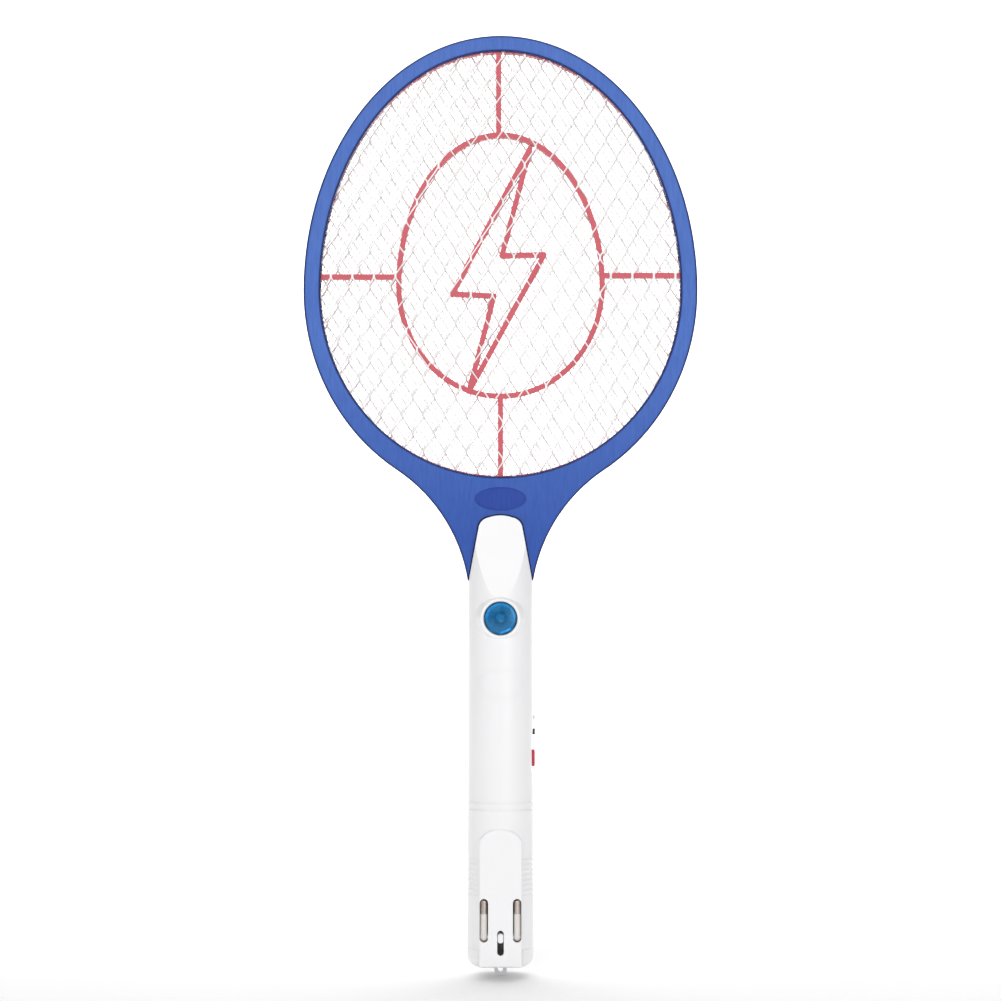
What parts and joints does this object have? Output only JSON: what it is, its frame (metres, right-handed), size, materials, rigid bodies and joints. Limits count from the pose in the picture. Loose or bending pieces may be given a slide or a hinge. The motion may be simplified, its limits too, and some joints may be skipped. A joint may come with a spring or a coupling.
{
  "type": "electric fly swatter",
  "caption": "Rechargeable electric fly swatter: blue egg-shaped racket with layered mesh and red grids, white handle with torch, button, switch and fold-out plug.",
  "frame": {"origin": "directly under the handle axis, at the lowest point of the hanging lug", "axes": "+Z along the handle towards the racket head, +X towards the side with the button, front face towards -Y"},
  "size_m": [0.2104, 0.0372, 0.5018],
  "materials": {
    "blue_plastic": "matte",
    "white_plastic": "gloss",
    "red_plastic": "satin",
    "red_button": "gloss",
    "black_plastic": "matte",
    "aluminium_mesh": "satin",
    "steel_screw": "satin",
    "nickel_pin": "polished",
    "brass_contact": "satin",
    "sleeve_plastic": "satin",
    "blue_lens": "gloss",
    "reflector_plastic": "polished",
    "clear_led": "gloss",
    "circuit_board": "satin",
    "ferrite": "matte",
    "bobbin_plastic": "matte",
    "copper_winding": "satin",
    "film_capacitor": "satin",
    "ceramic_blue": "satin",
    "component_black": "matte",
    "resistor_body": "satin",
    "capacitor_can": "satin",
    "battery_case": "matte",
    "wire_red": "matte",
    "connector_white": "matte"
  },
  "bodies": {
    "swatter": {"head_frame_front": "blue_plastic", "head_frame_rear": "blue_plastic", "head_screws": "steel_screw", "outer_mesh_front": "aluminium_mesh", "outer_mesh_rear": "aluminium_mesh", "inner_mesh": "aluminium_mesh", "spacer_grid_front": "red_plastic", "spacer_grid_rear": "red_plastic", "mesh_terminals": "brass_contact", "mesh_leads": "wire_red", "handle_front_shell": "white_plastic", "handle_rear_shell": "white_plastic", "handle_screws": "steel_screw", "tail_cap": "white_plastic", "lamp_lens": "blue_lens", "lamp_reflector": "reflector_plastic", "lamp_led": "clear_led", "lamp_board": "circuit_board", "trigger_switch": "component_black", "power_switch": "component_black", "indicator_led": "clear_led", "main_board": "circuit_board", "board_screws": "steel_screw", "transformer_core": "ferrite", "transformer_bobbin": "bobbin_plastic", "transformer_winding": "copper_winding", "hv_capacitor": "film_capacitor", "multiplier_capacitors": "ceramic_blue", "hv_diodes": "component_black", "resistors": "resistor_body", "transistor": "component_black", "smoothing_capacitor": "capacitor_can", "lead_connector": "connector_white", "battery": "battery_case", "battery_terminals": "brass_contact", "battery_leads": "wire_red", "charger_board": "circuit_board", "dropper_capacitor": "film_capacitor", "charger_diodes": "component_black", "charger_leads": "wire_red", "plug_contacts": "brass_contact"},
    "trigger": {"trigger_button": "red_button", "trigger_plunger": "component_black"},
    "power_slide": {"power_knob": "black_plastic"},
    "plug": {"plug_yoke": "white_plastic", "plug_pins": "nickel_pin", "pin_sleeves": "sleeve_plastic", "plug_axle": "steel_screw"}
  },
  "joints": [
    {"name": "trigger_press", "type": "slide", "parent": "swatter", "child": "trigger", "axis": [-1, 0, 0], "range_m": [0, 0.0015], "stiffness_N_per_m": 400, "springref_m": -0.001},
    {"name": "power_slide", "type": "slide", "parent": "swatter", "child": "power_slide", "axis": [0, 0, -1], "range_m": [0, 0.003]},
    {"name": "plug_swing", "type": "hinge", "parent": "swatter", "child": "plug", "pos_m": [0, -0.0142, 0.0222], "axis": [1, 0, 0], "range_deg": [0, 90]}
  ]
}
